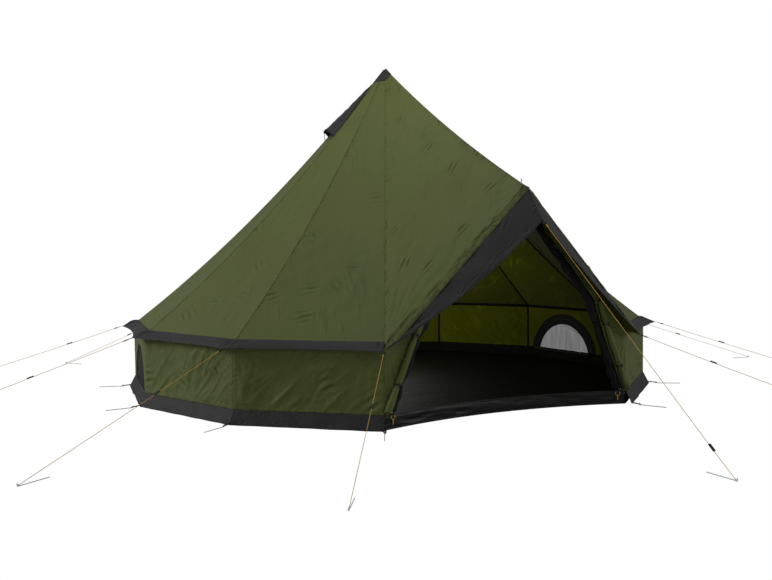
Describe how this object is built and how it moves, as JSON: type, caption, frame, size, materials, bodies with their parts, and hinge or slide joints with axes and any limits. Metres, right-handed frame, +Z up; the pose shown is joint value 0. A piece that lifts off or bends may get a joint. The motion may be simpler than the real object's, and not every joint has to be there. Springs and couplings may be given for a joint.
{
  "type": "teepee tent",
  "caption": "Olive teepee tent on one centre pole: low walls, raised door gable with dark visor, vent hoods, half-moon windows, groundsheet, guy lines with runners and pegs.",
  "frame": {"origin": "on the ground at the centre pole's axis, at the groundsheet's underside", "axes": "+Z up; the door faces -Y; +X to the right seen from in front of the door"},
  "size_m": [6.9718, 6.5078, 2.4473],
  "materials": {
    "green_cloth": "matte",
    "dark_cloth": "matte",
    "black_cloth": "matte",
    "mesh": "matte",
    "floor_sheet": "satin",
    "webbing": "matte",
    "line": "matte",
    "runner": "gloss",
    "plastic": "matte",
    "steel_tube": "satin",
    "steel_peg": "satin"
  },
  "bodies": {
    "tent": {"groundsheet": "floor_sheet", "groundsheet_tub_wall": "floor_sheet", "door_threshold": "floor_sheet", "wall_panels": "green_cloth", "window_wall_right": "green_cloth", "window_wall_left": "green_cloth", "mesh_screens": "mesh", "window_borders": "black_cloth", "window_cover_rolls": "green_cloth", "mud_skirt": "dark_cloth", "roof_panels": "green_cloth", "door_roof_panels": "green_cloth", "eave_band": "dark_cloth", "door_visor": "dark_cloth", "peak_cap": "dark_cloth", "vent_hoods": "dark_cloth", "door_walls": "green_cloth", "door_frame": "steel_tube", "door_flap_rolls": "green_cloth", "door_mesh_rolls": "mesh", "pole_foot": "plastic", "pole_crown": "plastic", "corner_loops": "webbing", "eave_rings": "webbing", "ground_pegs": "steel_peg", "pole_section_1": "steel_tube", "pole_section_2": "steel_tube", "pole_section_3": "steel_tube", "guy_line_01": "line", "guy_line_02": "line", "guy_line_03": "line", "guy_line_04": "line", "guy_line_05": "line", "guy_line_06": "line", "guy_line_07": "line", "guy_line_08": "line", "guy_line_09": "line", "guy_line_10": "line", "guy_line_11": "line", "guy_line_12": "line", "guy_line_13": "line"},
    "runner_01": {"guy_runner_01": "runner"},
    "runner_02": {"guy_runner_02": "runner"},
    "runner_03": {"guy_runner_03": "runner"},
    "runner_04": {"guy_runner_04": "runner"},
    "runner_05": {"guy_runner_05": "runner"},
    "runner_06": {"guy_runner_06": "runner"},
    "runner_07": {"guy_runner_07": "runner"},
    "runner_08": {"guy_runner_08": "runner"},
    "runner_09": {"guy_runner_09": "runner"},
    "runner_10": {"guy_runner_10": "runner"},
    "runner_11": {"guy_runner_11": "runner"},
    "runner_12": {"guy_runner_12": "runner"},
    "runner_13": {"guy_runner_13": "runner"},
    "slider_right": {"door_slider_right": "plastic"},
    "slider_left": {"door_slider_left": "plastic"},
    "window_zip_right": {"window_slider_right": "plastic"},
    "window_zip_left": {"window_slider_left": "plastic"},
    "vent_prop_right": {"vent_strut_right": "plastic"},
    "vent_prop_left": {"vent_strut_left": "plastic"}
  },
  "joints": [
    {"name": "runner_slide_01", "type": "slide", "parent": "tent", "child": "runner_01", "axis": [0.434, -0.8492, -0.3008], "range_m": [-0.4168, 0.992]},
    {"name": "runner_slide_02", "type": "slide", "parent": "tent", "child": "runner_02", "axis": [0.78, -0.5487, -0.3008], "range_m": [-0.4168, 0.992]},
    {"name": "runner_slide_03", "type": "slide", "parent": "tent", "child": "runner_03", "axis": [0.9459, -0.1215, -0.3008], "range_m": [-0.6363, 0.7725]},
    {"name": "runner_slide_04", "type": "slide", "parent": "tent", "child": "runner_04", "axis": [0.8706, 0.3253, -0.3692], "range_m": [-0.391, 0.735]},
    {"name": "runner_slide_05", "type": "slide", "parent": "tent", "child": "runner_05", "axis": [0.6183, 0.6938, -0.3692], "range_m": [-0.391, 0.735]},
    {"name": "runner_slide_06", "type": "slide", "parent": "tent", "child": "runner_06", "axis": [0.2203, 0.8902, -0.3988], "range_m": [-0.3587, 0.6749]},
    {"name": "runner_slide_07", "type": "slide", "parent": "tent", "child": "runner_07", "axis": [-0.2203, 0.8902, -0.3988], "range_m": [-0.3587, 0.6749]},
    {"name": "runner_slide_08", "type": "slide", "parent": "tent", "child": "runner_08", "axis": [-0.6183, 0.6938, -0.3692], "range_m": [-0.391, 0.735]},
    {"name": "runner_slide_09", "type": "slide", "parent": "tent", "child": "runner_09", "axis": [-0.8934, 0.3338, -0.3008], "range_m": [-0.3291, 1.0797]},
    {"name": "runner_slide_10", "type": "slide", "parent": "tent", "child": "runner_10", "axis": [-0.9459, -0.1215, -0.3008], "range_m": [-0.5924, 0.8164]},
    {"name": "runner_slide_11", "type": "slide", "parent": "tent", "child": "runner_11", "axis": [-0.78, -0.5487, -0.3008], "range_m": [-0.5046, 0.9042]},
    {"name": "runner_slide_12", "type": "slide", "parent": "tent", "child": "runner_12", "axis": [-0.5057, -0.8087, -0.3003], "range_m": [-0.564, 0.847]},
    {"name": "runner_slide_13", "type": "slide", "parent": "tent", "child": "runner_13", "axis": [0, -0.7671, -0.6416], "range_m": [-1.5959, 0.1478]},
    {"name": "door_zip_right", "type": "hinge", "parent": "tent", "child": "slider_right", "pos_m": [0, -4.29207, 0.09], "axis": [0, 0, 1], "range_deg": [0, 17.52]},
    {"name": "door_zip_left", "type": "hinge", "parent": "tent", "child": "slider_left", "pos_m": [0, -4.29207, 0.09], "axis": [0, 0, -1], "range_deg": [0, 17.52]},
    {"name": "window_zip_right", "type": "hinge", "parent": "tent", "child": "window_zip_right", "pos_m": [1.87528, 0.21643, 0.013], "axis": [-0.9934, -0.1147, 0], "range_deg": [0, 144]},
    {"name": "window_zip_left", "type": "hinge", "parent": "tent", "child": "window_zip_left", "pos_m": [-1.87528, 0.21643, 0.013], "axis": [0.9934, -0.1147, 0], "range_deg": [0, 144]},
    {"name": "vent_prop_right", "type": "hinge", "parent": "tent", "child": "vent_prop_right", "pos_m": [0.44636, 0.16677, 1.95798], "axis": [0.35, -0.9368, 0], "range_deg": [0, 80]},
    {"name": "vent_prop_left", "type": "hinge", "parent": "tent", "child": "vent_prop_left", "pos_m": [-0.44636, 0.16677, 1.95798], "axis": [0.35, 0.9368, 0], "range_deg": [0, 80]}
  ]
}
